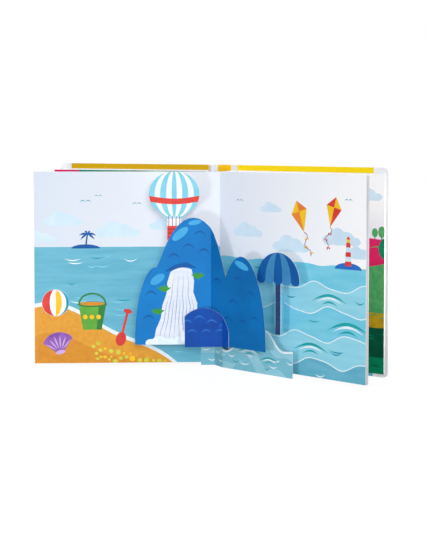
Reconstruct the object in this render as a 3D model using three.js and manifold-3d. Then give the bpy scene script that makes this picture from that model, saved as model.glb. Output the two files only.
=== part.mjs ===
// Children's pop-up book, standing open on its lower edges, seen from the front along +Y.
// Millimetres, +Z up. The origin is the middle of the spine board's lower end.
// Every wall is card or paper, so most pieces are folded ribbons seen from above and raised along Z.

import * as THREE from "three";
import { mergeVertices } from "three/addons/utils/BufferGeometryUtils.js";
import Module from "manifold-3d";

// Driving dimensions of the sheets
const PAGE_WIDTH = 232;
const PAGE_HEIGHT = 240;
const PAGE_LIFT = 4;
const CARD = 0.5;
const STRUT_CARD = 0.4;
const GLUE_GAP = 0.25;

// Driving dimensions of the case
const BOARD_WIDTH = 224;
const BOARD_HEIGHT = 251;
const BOARD_CORE = 2;
const BOARD_CORNER = 8;
const WRAP = 0.35;
const TURN_IN = 15;
const SPINE_WIDTH = 16.5;
const JOINT_WIDTH = 12;
const HINGE_GAP = 0.4;
const FORE_SQUARE = 5;
const PASTE_INSET = 1.5;
const CAVITY_OVERCUT = 1.4;
const TURNED_LEVEL = 0.315;

// How far each sheet stands back (+) or forward (-) of the X axis, in degrees
const SPINE_TURN = -23;
const FRONT_COVER_TURN = -25;
const BACK_COVER_TURN = -37.9;
const LEFT_BACK_LEAF_TURN = -21.7;
const LEFT_PAGE_TURN = 2.8;
const RIGHT_PAGE_TURN = -44.5;
const RIGHT_BACK_LEAF_TURN = -44.1;

// Fold of the open spread, and how the neighbouring folds step back from it
const SPREAD_FOLD_X = -6;
const SPREAD_FOLD_Y = -54;
const FOLD_RUN = 1.6;
const FOLD_STEP = 1.9;
const PASTE_TAB = 6.5;
const PASTE_TAB_SETBACK = 1;

// Floating layer of the open spread
const LAYER_STANDOFF = 29;
const HILL_BASE = 31;
const LEFT_HUMP_CENTRE = -62;
const LEFT_HUMP_HALF_WIDTH = 24;
const LEFT_HUMP_TOP = 127;
const MAIN_HUMP_CENTRE = -20;
const MAIN_HUMP_HALF_WIDTH = 50;
const MAIN_HUMP_TOP = 188;
const RIGHT_HUMP_CENTRE = 47;
const RIGHT_HUMP_HALF_WIDTH = 37;
const RIGHT_HUMP_TOP = 143;
const HILL_STEPS = 44;
const HILL_STRUT_REACH = 66;
const HILL_STRUT_LOW = 70;
const HILL_STRUT_HEIGHT = 46;
const STRUT_TAB = 11;

// Hot-air balloon behind the hill's top
const BALLOON_CENTRE = -58;
const BALLOON_HALF_WIDTH = 31;
const BALLOON_HALF_HEIGHT = 28;
const BALLOON_MIDDLE = 217;
const BASKET_WIDTH = 17;
const BASKET_TOP = 187;
const BALLOON_FOOT = 148;
const BALLOON_NECK_TURN = 54;

// Boulder in front of the hill
const BOULDER_OFFSET = 20;
const BOULDER_LENGTH = 46;
const BOULDER_BASE = 30;
const BOULDER_TOP = 78;
const BOULDER_TAB = 11;
const BOULDER_STRUT_REACH = 40;
const BOULDER_STRUT_LOW = 36;
const BOULDER_STRUT_HEIGHT = 14;

// Parasol in front of the right page
const PARASOL_STANDOFF = 17;
const PARASOL_CENTRE = 113;
const PARASOL_HALF_WIDTH = 34;
const PARASOL_TOP = 150;
const PARASOL_RIM = 116;
const PARASOL_SCALLOPS = 5;
const PARASOL_SCALLOP_DROP = 4;
const POLE_WIDTH = 8;
const POLE_FOOT = 52;
const PARASOL_STRUT_LOW = 60;
const PARASOL_STRUT_HEIGHT = 40;

// Wave strip along the foot of the open spread
const STRIP_STANDOFF = 12;
const STRIP_FOLD = 16.3;
const STRIP_END = 132;
const STRIP_ROOT = 6.6;
const STRIP_TAB_END = 24;
const STRIP_FOOT = 0.5;
const STRIP_HEIGHT = 27;
const STRIP_WAVE_RISE = 5;
const STRIP_WAVES = 3;
const STRIP_WAVE_STEPS = 10;
const STRIP_SWELL_CENTRE = 88;
const STRIP_SWELL_HALF_WIDTH = 46;
const STRIP_SWELL_RISE = 22;
const STRIP_STRUT_REACH = 92;
const STRIP_STRUT_HEIGHT = 14;

// Folded card tent of the neighbouring spread, behind the left page
const TENT_REACH = 74;
const TENT_PANEL = 44;
const TENT_LOW = 40;
const TENT_HEIGHT = 130;
const TENT_TAB = 12;

// Fineness of curves and of the joining of vertices
const CURVE_STEPS = 12;
const WELD_DISTANCE = 1e-4;

// Surface finish and colours of the bare materials
const WRAP_ROUGHNESS = 0.35;
const CARD_ROUGHNESS = 0.45;
const STRUT_ROUGHNESS = 0.55;
const BOARD_ROUGHNESS = 0.9;
const WHITE_CARD = 0xf4f4f2;
const BLUE_CARD = 0x0a78c2;
const DARK_BLUE_CARD = 0x0a4aa0;
const CYAN_CARD = 0x7fcbe2;
const TEAL_CARD = 0x8cc9d8;
const YELLOW_WRAP = 0xf2c200;
const GREY_BOARD = 0xb9b4a8;
const RED_CARD = 0xc9463a;

const wasm = await Module();
wasm.setup();

const book = new THREE.Group();
const pageTop = PAGE_LIFT + PAGE_HEIGHT;

// Helpers for plan geometry

// A vertical sheet's frame in plan: h runs to the right along it, n runs out of it to the front
class SheetFrame {
  constructor(origin, turnDegrees) {
    const turn = THREE.MathUtils.degToRad(turnDegrees);
    this.origin = origin;
    this.right = new THREE.Vector2(Math.cos(turn), Math.sin(turn));
    this.front = new THREE.Vector2(Math.sin(turn), -Math.cos(turn));
  }

  at(h, n) {
    return this.origin.clone().addScaledVector(this.right, h).addScaledVector(this.front, n);
  }

  matrix(n) {
    const place = this.at(0, n);
    return new THREE.Matrix4()
      .makeBasis(
        new THREE.Vector3(this.right.x, this.right.y, 0),
        new THREE.Vector3(0, 0, 1),
        new THREE.Vector3(this.front.x, this.front.y, 0),
      )
      .setPosition(place.x, place.y, 0);
  }
}

// Side of a polyline of card, moved sideways by half a thickness, with mitred corners
function sideOf(points, offset) {
  return points.map((point, index) => {
    const before = points[Math.max(index - 1, 0)];
    const after = points[Math.min(index + 1, points.length - 1)];
    const into = point.clone().sub(before);
    const outOf = after.clone().sub(point);
    const first = (into.lengthSq() > 0 ? into : outOf).clone().normalize();
    const second = (outOf.lengthSq() > 0 ? outOf : into).clone().normalize();
    const mitre = new THREE.Vector2(-first.y - second.y, first.x + second.x).normalize();
    const stretch = mitre.x * -first.y + mitre.y * first.x;
    return point.clone().addScaledVector(mitre, offset / stretch);
  });
}

// Outline in plan of a folded sheet whose middle line is the given polyline
function ribbon(points, thickness) {
  const left = sideOf(points, thickness / 2);
  const right = sideOf(points, -thickness / 2);
  return left.concat(right.reverse());
}

// Upright solid over an outline in plan
function upright(outline, low, high) {
  const points = THREE.ShapeUtils.area(outline) < 0 ? outline.slice().reverse() : outline;
  const geometry = new THREE.ExtrudeGeometry(new THREE.Shape(points), {
    depth: high - low,
    bevelEnabled: false,
  });
  return geometry.translate(0, 0, low);
}

// Flat sheet or block cut to an outline in h and z, from n = back to n = front of a frame
function sheet(shape, frame, back, front) {
  const geometry = new THREE.ExtrudeGeometry(shape, {
    depth: front - back,
    bevelEnabled: false,
    curveSegments: CURVE_STEPS,
  });
  return geometry.applyMatrix4(frame.matrix(back));
}

// Helpers for cut and joined solids

function toSolid(geometry) {
  const bare = geometry.clone();
  bare.deleteAttribute("normal");
  bare.deleteAttribute("uv");
  const merged = mergeVertices(bare, WELD_DISTANCE);
  return new wasm.Manifold(new wasm.Mesh({
    numProp: 3,
    vertProperties: new Float32Array(merged.attributes.position.array),
    triVerts: new Uint32Array(merged.index.array),
  }));
}

function toGeometry(solid) {
  const cut = solid.getMesh();
  const geometry = new THREE.BufferGeometry();
  geometry.setAttribute("position", new THREE.BufferAttribute(cut.vertProperties, 3));
  geometry.setIndex(new THREE.BufferAttribute(cut.triVerts, 1));
  geometry.computeVertexNormals();
  return geometry;
}

function joined(geometries) {
  return toGeometry(geometries.map(toSolid).reduce((whole, part) => whole.add(part)));
}

function common(first, second) {
  return toGeometry(toSolid(first).intersect(toSolid(second)));
}

function without(first, cuts) {
  return toGeometry(cuts.map(toSolid).reduce((rest, cut) => rest.subtract(cut), toSolid(first)));
}

function addPiece(name, geometry, colour, roughness) {
  const material = new THREE.MeshStandardMaterial({ color: colour, roughness, metalness: 0 });
  const mesh = new THREE.Mesh(geometry, material);
  mesh.name = name;
  book.add(mesh);
}

// Frames of the case, worked out from the spine to the covers

const stackHalf = BOARD_CORE / 2 + GLUE_GAP + WRAP;
const spine = new SheetFrame(new THREE.Vector2(0, 0), SPINE_TURN);
const wrapLevel = -stackHalf + WRAP / 2;
const spineLeft = spine.at(-SPINE_WIDTH / 2, wrapLevel);
const spineRight = spine.at(SPINE_WIDTH / 2, wrapLevel);
const frontJoint = new SheetFrame(spineLeft, (SPINE_TURN + FRONT_COVER_TURN) / 2);
const backJoint = new SheetFrame(spineRight, (SPINE_TURN + BACK_COVER_TURN) / 2);
const frontCover = new SheetFrame(frontJoint.at(-JOINT_WIDTH, 0), FRONT_COVER_TURN);
const backCover = new SheetFrame(backJoint.at(JOINT_WIDTH, 0), BACK_COVER_TURN);

// Levels of the layers of a cover, measured forward from the middle of its outer wrap
const coreBack = WRAP / 2 + GLUE_GAP;
const coreFront = coreBack + BOARD_CORE;
const flangeBack = coreFront + GLUE_GAP;
const flangeFront = flangeBack + WRAP;
const pasteBack = flangeFront + GLUE_GAP;

// Rectangle from the hinge out to the fore edge, its two outer corners rounded; side is -1 or +1
function coverOutline(side, reach, low, high, corner, start) {
  const shape = new THREE.Shape();
  const outer = side * reach;
  const inner = side * start;
  const bend = side * corner;
  shape.moveTo(inner, low);
  shape.lineTo(outer - bend, low);
  if (corner > 0) {
    shape.absarc(outer - bend, low + corner, corner, -Math.PI / 2, side > 0 ? 0 : -Math.PI, side < 0);
    shape.lineTo(outer, high - corner);
    shape.absarc(outer - bend, high - corner, corner, side > 0 ? 0 : Math.PI, Math.PI / 2, side < 0);
  } else {
    shape.lineTo(outer, high);
  }
  shape.lineTo(inner, high);
  shape.closePath();
  return shape;
}

// One cover: greyboard core, paper wrap turned in over three edges, and pasted printed leaf
function addCover(prefix, frame, side) {
  const edge = HINGE_GAP / 2;
  const past = -CAVITY_OVERCUT;
  const skin = WRAP + GLUE_GAP;
  const block = sheet(
    coverOutline(side, BOARD_WIDTH, 0, BOARD_HEIGHT, BOARD_CORNER, edge), frame, -WRAP / 2, flangeFront);
  const cavity = sheet(
    coverOutline(side, BOARD_WIDTH - WRAP, WRAP, BOARD_HEIGHT - WRAP, BOARD_CORNER - WRAP, past),
    frame, WRAP / 2, flangeBack);
  const window = sheet(
    coverOutline(side, BOARD_WIDTH - TURN_IN, TURN_IN, BOARD_HEIGHT - TURN_IN, 0, past),
    frame, coreFront, flangeFront + WRAP);
  addPiece(`${prefix}_wrap`, without(block, [cavity, window]), YELLOW_WRAP, WRAP_ROUGHNESS);
  const core = coverOutline(
    side, BOARD_WIDTH - skin, skin, BOARD_HEIGHT - skin, BOARD_CORNER - skin, edge);
  addPiece(`${prefix}_board`, sheet(core, frame, coreBack, coreFront), GREY_BOARD, BOARD_ROUGHNESS);
  const pasted = coverOutline(side, BOARD_WIDTH - FORE_SQUARE, PAGE_LIFT, pageTop, 0, PASTE_INSET);
  const leaf = sheet(pasted, frame, pasteBack, pasteBack + CARD);
  addPiece(`${prefix}_pastedown`, leaf, WHITE_CARD, CARD_ROUGHNESS);
}

// Spine: board core, and the stretch of the wrap that bends over both joints
function addSpine() {
  const outer = [
    frontJoint.at(-JOINT_WIDTH + HINGE_GAP / 2, 0),
    spineLeft,
    spineRight,
    backJoint.at(JOINT_WIDTH - HINGE_GAP / 2, 0),
  ];
  const turned = [
    frontJoint.at(-JOINT_WIDTH + HINGE_GAP / 2, TURNED_LEVEL),
    frontJoint.at(-WRAP, TURNED_LEVEL),
    spine.at(-SPINE_WIDTH / 2 + WRAP / 2, stackHalf - WRAP / 2),
    spine.at(SPINE_WIDTH / 2 - WRAP / 2, stackHalf - WRAP / 2),
    backJoint.at(WRAP, TURNED_LEVEL),
    backJoint.at(JOINT_WIDTH - HINGE_GAP / 2, TURNED_LEVEL),
  ];
  const section = [
    spine.at(-SPINE_WIDTH / 2, -stackHalf),
    spine.at(SPINE_WIDTH / 2, -stackHalf),
    spine.at(SPINE_WIDTH / 2, stackHalf),
    spine.at(-SPINE_WIDTH / 2, stackHalf),
  ];
  addPiece("spine_wrap", joined([
    upright(ribbon(outer, WRAP), 0, BOARD_HEIGHT),
    upright(ribbon(turned, WRAP), 0, TURN_IN),
    upright(ribbon(turned, WRAP), BOARD_HEIGHT - TURN_IN, BOARD_HEIGHT),
    upright(section, 0, WRAP),
    upright(section, BOARD_HEIGHT - WRAP, BOARD_HEIGHT),
  ]), YELLOW_WRAP, WRAP_ROUGHNESS);
  const coreHalf = SPINE_WIDTH / 2 - WRAP * 2 - GLUE_GAP;
  const core = [
    spine.at(-coreHalf, -BOARD_CORE / 2),
    spine.at(coreHalf, -BOARD_CORE / 2),
    spine.at(coreHalf, BOARD_CORE / 2),
    spine.at(-coreHalf, BOARD_CORE / 2),
  ];
  const skin = WRAP + GLUE_GAP;
  addPiece("spine_board", upright(core, skin, BOARD_HEIGHT - skin), GREY_BOARD, BOARD_ROUGHNESS);
}

// The folded cards of the spreads, glued back to back

const glued = CARD + GLUE_GAP;
const spreadFold = new THREE.Vector2(SPREAD_FOLD_X, SPREAD_FOLD_Y);
const leftPage = new SheetFrame(spreadFold, LEFT_PAGE_TURN);
const rightPage = new SheetFrame(spreadFold, RIGHT_PAGE_TURN);
const leftLeafFold = leftPage.at(-FOLD_RUN, -glued).add(new THREE.Vector2(0, FOLD_STEP));
const rightLeafFold = rightPage.at(FOLD_RUN, -glued).add(new THREE.Vector2(0, FOLD_STEP));
const leftLeaf = new SheetFrame(leftLeafFold, LEFT_BACK_LEAF_TURN);
const rightLeaf = new SheetFrame(rightLeafFold, RIGHT_BACK_LEAF_TURN);
const pasteLevel = TURNED_LEVEL + WRAP / 2 + GLUE_GAP + CARD / 2;

function addCard(name, points) {
  addPiece(name, upright(ribbon(points, CARD), PAGE_LIFT, pageTop), WHITE_CARD, CARD_ROUGHNESS);
}

function addCards() {
  addCard("card_1", [
    leftLeaf.at(-PAGE_WIDTH, -glued),
    leftLeaf.at(-FOLD_RUN, -glued),
    frontJoint.at(PASTE_TAB - JOINT_WIDTH, pasteLevel),
    frontJoint.at(PASTE_TAB_SETBACK - JOINT_WIDTH, pasteLevel),
  ]);
  addCard("card_2", [
    leftLeaf.at(-PAGE_WIDTH, 0),
    leftLeafFold,
    leftPage.at(-FOLD_RUN, -glued),
    leftPage.at(-PAGE_WIDTH, -glued),
  ]);
  addCard("card_3", [
    leftPage.at(-PAGE_WIDTH, 0),
    spreadFold,
    rightPage.at(PAGE_WIDTH, 0),
  ]);
  addCard("card_4", [
    rightPage.at(PAGE_WIDTH, -glued),
    rightPage.at(FOLD_RUN, -glued),
    rightLeafFold,
    rightLeaf.at(PAGE_WIDTH, 0),
  ]);
  addCard("card_5", [
    rightLeaf.at(PAGE_WIDTH, -glued),
    rightLeaf.at(FOLD_RUN, -glued),
    backJoint.at(JOINT_WIDTH - PASTE_TAB, pasteLevel),
    backJoint.at(JOINT_WIDTH - PASTE_TAB_SETBACK, pasteLevel),
  ]);
}

// The floating layer of the open spread, creased in front of the fold

const halfOpening = THREE.MathUtils.degToRad(90 + (RIGHT_PAGE_TURN - LEFT_PAGE_TURN) / 2);
const bisectorTurn = (LEFT_PAGE_TURN + RIGHT_PAGE_TURN) / 2;
const spreadMiddle = new SheetFrame(spreadFold, bisectorTurn);
const layer = new SheetFrame(spreadMiddle.at(0, LAYER_STANDOFF / Math.sin(halfOpening)), bisectorTurn);
const layerLeft = new SheetFrame(layer.origin, LEFT_PAGE_TURN);
const layerRight = new SheetFrame(layer.origin, RIGHT_PAGE_TURN);

// Humps of the hill from left to right, each a half ellipse
const humps = [
  { centre: LEFT_HUMP_CENTRE, halfWidth: LEFT_HUMP_HALF_WIDTH, top: LEFT_HUMP_TOP },
  { centre: MAIN_HUMP_CENTRE, halfWidth: MAIN_HUMP_HALF_WIDTH, top: MAIN_HUMP_TOP },
  { centre: RIGHT_HUMP_CENTRE, halfWidth: RIGHT_HUMP_HALF_WIDTH, top: RIGHT_HUMP_TOP },
];

// Height of the hill's skyline over h: the highest of its humps
function hillSkyline(h) {
  return humps.reduce((height, hump) => {
    const across = (h - hump.centre) / hump.halfWidth;
    const rise = Math.abs(across) < 1 ? (hump.top - HILL_BASE) * Math.sqrt(1 - across * across) : 0;
    return Math.max(height, HILL_BASE + rise);
  }, HILL_BASE);
}

function hillOutline() {
  const first = LEFT_HUMP_CENTRE - LEFT_HUMP_HALF_WIDTH;
  const last = RIGHT_HUMP_CENTRE + RIGHT_HUMP_HALF_WIDTH;
  const middle = (first + last) / 2;
  const half = (last - first) / 2;
  const shape = new THREE.Shape();
  shape.moveTo(first, HILL_BASE);
  shape.lineTo(last, HILL_BASE);
  for (let step = 1; step < HILL_STEPS; step += 1) {
    const h = middle + half * Math.cos((Math.PI * step) / HILL_STEPS);
    shape.lineTo(h, hillSkyline(h));
  }
  shape.closePath();
  return shape;
}

function addHill() {
  const reach = humps.reduce((most, hump) => Math.max(most, Math.abs(hump.centre) + hump.halfWidth), 0);
  const length = reach / Math.sin(halfOpening) + CARD;
  const folded = upright(
    ribbon([layerLeft.at(-length, 0), layer.origin, layerRight.at(length, 0)], CARD), 0, pageTop);
  const cutter = sheet(hillOutline(), layer, -length, length);
  addPiece("popup_hill", common(folded, cutter), BLUE_CARD, CARD_ROUGHNESS);
}

// Z-folded strut between two sheets, given by their levels out of a page's frame
function addStrut(name, frame, reach, side, behind, ahead, low, height) {
  const back = behind + CARD / 2 + GLUE_GAP + STRUT_CARD / 2;
  const front = ahead - CARD / 2 - GLUE_GAP - STRUT_CARD / 2;
  const points = [
    frame.at(side * (reach - STRUT_TAB), back),
    frame.at(side * reach, back),
    frame.at(side * reach, front),
    frame.at(side * (reach + STRUT_TAB), front),
  ];
  addPiece(name, upright(ribbon(points, STRUT_CARD), low, low + height), WHITE_CARD, STRUT_ROUGHNESS);
}

// Balloon: round envelope, neck and basket in one sheet, its foot glued behind the hill
function addBalloon() {
  const shape = new THREE.Shape();
  const basketHalf = BASKET_WIDTH / 2;
  const neck = THREE.MathUtils.degToRad(BALLOON_NECK_TURN);
  shape.moveTo(BALLOON_CENTRE - basketHalf, BALLOON_FOOT);
  shape.lineTo(BALLOON_CENTRE + basketHalf, BALLOON_FOOT);
  shape.lineTo(BALLOON_CENTRE + basketHalf, BASKET_TOP);
  shape.absellipse(
    BALLOON_CENTRE, BALLOON_MIDDLE, BALLOON_HALF_WIDTH, BALLOON_HALF_HEIGHT,
    -Math.PI / 2 + neck, (Math.PI * 3) / 2 - neck, false);
  shape.lineTo(BALLOON_CENTRE - basketHalf, BASKET_TOP);
  shape.closePath();
  const level = LAYER_STANDOFF - glued;
  const balloon = sheet(shape, leftPage, level - CARD / 2, level + CARD / 2);
  addPiece("popup_balloon", balloon, CYAN_CARD, CARD_ROUGHNESS);
}

// Boulder: glued on the hill's right face by a tab, then turned to run along the left face
function addBoulder() {
  const bend = layerRight.at(BOULDER_OFFSET, glued);
  const along = new SheetFrame(bend, LEFT_PAGE_TURN);
  const folded = upright(ribbon([
    layerRight.at(BOULDER_OFFSET + BOULDER_TAB, glued),
    bend,
    along.at(-BOULDER_LENGTH, 0),
  ], CARD), 0, pageTop);
  const middle = layer.right.dot(along.at(-BOULDER_LENGTH / 2, 0).sub(layer.origin));
  const half = BOULDER_LENGTH / 2 + BOULDER_TAB;
  const shape = new THREE.Shape();
  shape.moveTo(middle - half, BOULDER_BASE);
  shape.lineTo(middle + half, BOULDER_BASE);
  shape.absellipse(middle, BOULDER_BASE, half, BOULDER_TOP - BOULDER_BASE, 0, Math.PI, false);
  shape.closePath();
  const cutter = sheet(shape, layer, -PAGE_WIDTH / 2, PAGE_WIDTH / 2);
  addPiece("popup_boulder", common(folded, cutter), DARK_BLUE_CARD, CARD_ROUGHNESS);
  const lead = leftPage.front.dot(bend.clone().sub(spreadFold));
  addStrut(
    "boulder_strut", leftPage, BOULDER_STRUT_REACH, -1, LAYER_STANDOFF, lead,
    BOULDER_STRUT_LOW, BOULDER_STRUT_HEIGHT);
}

// Parasol: canopy with a scalloped rim on a flat pole, held off the right page by a strut
function addParasol() {
  const shape = new THREE.Shape();
  const poleHalf = POLE_WIDTH / 2;
  const left = PARASOL_CENTRE - PARASOL_HALF_WIDTH;
  const scallop = (2 * PARASOL_HALF_WIDTH) / PARASOL_SCALLOPS;
  shape.moveTo(PARASOL_CENTRE + PARASOL_HALF_WIDTH, PARASOL_RIM);
  shape.absellipse(
    PARASOL_CENTRE, PARASOL_RIM, PARASOL_HALF_WIDTH, PARASOL_TOP - PARASOL_RIM, 0, Math.PI, false);
  for (let index = 0; index < PARASOL_SCALLOPS; index += 1) {
    const middle = left + (index + 0.5) * scallop;
    shape.absellipse(middle, PARASOL_RIM, scallop / 2, PARASOL_SCALLOP_DROP, Math.PI, 2 * Math.PI, false);
  }
  shape.closePath();
  const pole = new THREE.Shape();
  pole.moveTo(PARASOL_CENTRE - poleHalf, POLE_FOOT);
  pole.lineTo(PARASOL_CENTRE + poleHalf, POLE_FOOT);
  pole.lineTo(PARASOL_CENTRE + poleHalf, PARASOL_RIM + PARASOL_SCALLOP_DROP);
  pole.lineTo(PARASOL_CENTRE - poleHalf, PARASOL_RIM + PARASOL_SCALLOP_DROP);
  pole.closePath();
  const back = PARASOL_STANDOFF - CARD / 2;
  const front = PARASOL_STANDOFF + CARD / 2;
  addPiece("popup_parasol", joined([
    sheet(shape, rightPage, back, front),
    sheet(pole, rightPage, back, front),
  ]), DARK_BLUE_CARD, CARD_ROUGHNESS);
  addStrut(
    "parasol_strut", rightPage, PARASOL_CENTRE - STRUT_TAB / 2, 1, 0, PARASOL_STANDOFF,
    PARASOL_STRUT_LOW, PARASOL_STRUT_HEIGHT);
}

// Height of the wave strip's top edge over h: small waves on one swell
function stripSkyline(h) {
  const crest = STRIP_WAVE_RISE * Math.cos((2 * Math.PI * STRIP_WAVES * h) / STRIP_END);
  const across = Math.min(Math.abs(h - STRIP_SWELL_CENTRE) / STRIP_SWELL_HALF_WIDTH, 1);
  const swell = (STRIP_SWELL_RISE * (1 + Math.cos(Math.PI * across))) / 2;
  return STRIP_FOOT + STRIP_HEIGHT + crest + swell;
}

// Wave strip: glued on the left page, led over the fold, then along the right page
function addStrip() {
  const folded = upright(ribbon([
    leftPage.at(-STRIP_TAB_END, glued),
    leftPage.at(-STRIP_ROOT, glued),
    rightPage.at(STRIP_FOLD, STRIP_STANDOFF),
    rightPage.at(STRIP_END, STRIP_STANDOFF),
  ], CARD), STRIP_FOOT, pageTop);
  const shape = new THREE.Shape();
  const wave = STRIP_END / STRIP_WAVES;
  const steps = STRIP_WAVES * STRIP_WAVE_STEPS;
  shape.moveTo(-STRIP_TAB_END - wave, STRIP_FOOT - CARD);
  shape.lineTo(STRIP_END + wave, STRIP_FOOT - CARD);
  for (let step = steps; step >= 0; step -= 1) {
    const h = (STRIP_END * step) / steps;
    shape.lineTo(h, stripSkyline(h));
  }
  shape.lineTo(-STRIP_TAB_END - wave, stripSkyline(0));
  shape.closePath();
  const cutter = sheet(shape, rightPage, -PAGE_WIDTH / 2, PAGE_WIDTH / 2);
  addPiece("popup_wave_strip", common(folded, cutter), TEAL_CARD, CARD_ROUGHNESS);
  addStrut(
    "wave_strip_strut", rightPage, STRIP_STRUT_REACH, 1, 0, STRIP_STANDOFF, PAGE_LIFT, STRIP_STRUT_HEIGHT);
}

// Tent behind the left page: a tab on each leaf and two panels that meet at a ridge
function addTent() {
  const tabLevel = CARD / 2 + GLUE_GAP + STRUT_CARD / 2;
  const foot = leftLeaf.at(-TENT_REACH, tabLevel);
  const otherFoot = leftPage.at(-TENT_REACH, -glued - tabLevel);
  const middle = foot.clone().add(otherFoot).multiplyScalar(0.5);
  const halfGap = foot.distanceTo(otherFoot) / 2;
  const outward = middle.clone().sub(spreadFold).normalize();
  const ridge = middle.addScaledVector(outward, Math.sqrt(TENT_PANEL ** 2 - halfGap ** 2));
  const points = [
    leftLeaf.at(TENT_TAB - TENT_REACH, tabLevel),
    foot,
    ridge,
    otherFoot,
    leftPage.at(TENT_TAB - TENT_REACH, -glued - tabLevel),
  ];
  const tent = upright(ribbon(points, STRUT_CARD), TENT_LOW, TENT_LOW + TENT_HEIGHT);
  addPiece("spread_2_tent", tent, RED_CARD, CARD_ROUGHNESS);
}

addSpine();
addCover("front", frontCover, -1);
addCover("back", backCover, 1);
addCards();
addHill();
addStrut(
  "hill_left_strut", leftPage, HILL_STRUT_REACH, -1, 0, LAYER_STANDOFF, HILL_STRUT_LOW, HILL_STRUT_HEIGHT);
addStrut(
  "hill_right_strut", rightPage, HILL_STRUT_REACH, 1, 0, LAYER_STANDOFF, HILL_STRUT_LOW, HILL_STRUT_HEIGHT);
addBalloon();
addBoulder();
addParasol();
addStrip();
addTent();

export default book;
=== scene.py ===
"""Dresses the standing children's pop-up book: printed pages, glossy case, card scene and studio."""

import logging
import math
import random
from dataclasses import dataclass, field
from enum import Enum
from typing import Callable, Iterable

import bpy
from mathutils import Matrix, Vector
from mathutils.geometry import delaunay_2d_cdt


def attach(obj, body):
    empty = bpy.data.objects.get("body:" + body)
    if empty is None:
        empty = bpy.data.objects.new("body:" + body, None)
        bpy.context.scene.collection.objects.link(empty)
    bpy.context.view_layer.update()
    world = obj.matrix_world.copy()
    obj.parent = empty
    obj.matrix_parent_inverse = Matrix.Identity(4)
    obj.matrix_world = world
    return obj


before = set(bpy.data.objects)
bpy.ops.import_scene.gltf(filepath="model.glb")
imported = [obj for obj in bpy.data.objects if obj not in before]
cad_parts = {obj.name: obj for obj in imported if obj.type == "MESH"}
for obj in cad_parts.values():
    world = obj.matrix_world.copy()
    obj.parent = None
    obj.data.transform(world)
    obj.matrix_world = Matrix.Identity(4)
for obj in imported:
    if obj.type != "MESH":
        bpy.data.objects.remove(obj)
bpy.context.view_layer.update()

MM = 0.001
LOG = logging.getLogger("popup_book")

Point = tuple[float, float]
Outline = list[Point]
Colour = tuple[float, float, float]
Place = tuple[float, float, float]
Places = tuple[tuple[float, float, float], ...]
Skyline = Callable[[float], float]
Setting = float | Vector | tuple[float, ...] | bpy.types.NodeSocket

LEFT_SHEET = (-250.0, 10.0)
RIGHT_SHEET = (-10.0, 250.0)
LEFT_LEAF = (-240.0, 10.0)
RIGHT_LEAF = (-10.0, 240.0)
UNDER_FOOT = -10.0


class Look(Enum):
    """How an ink's two colours lie on the paper; a fade across a page is painted shade."""

    MOTTLED = "mottled"
    FADING_UP = "fading_up"
    # painted shade: the ink darkens towards one end of the page
    PAINTED_SHADE_ACROSS = "fading_across"
    GRAINY = "grainy"
    STREAKED = "streaked"


class Side(Enum):
    """The two faces of a sheet: towards its frame's front, or away from it."""

    FRONT = 1
    BACK = -1


def rgb(red: float, green: float, blue: float) -> tuple[float, float, float, float]:
    """Turn display values from 0 to 255 into a linear colour.

    Args:
        red: Red as displayed.
        green: Green as displayed.
        blue: Blue as displayed.

    Returns:
        The linear colour with full alpha.
    """
    def linear(value: float) -> float:
        """Return one channel in linear light."""
        share = value / 255.0
        return share / 12.92 if share <= 0.04045 else ((share + 0.055) / 1.055) ** 2.4

    return (linear(red), linear(green), linear(blue), 1.0)


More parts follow.
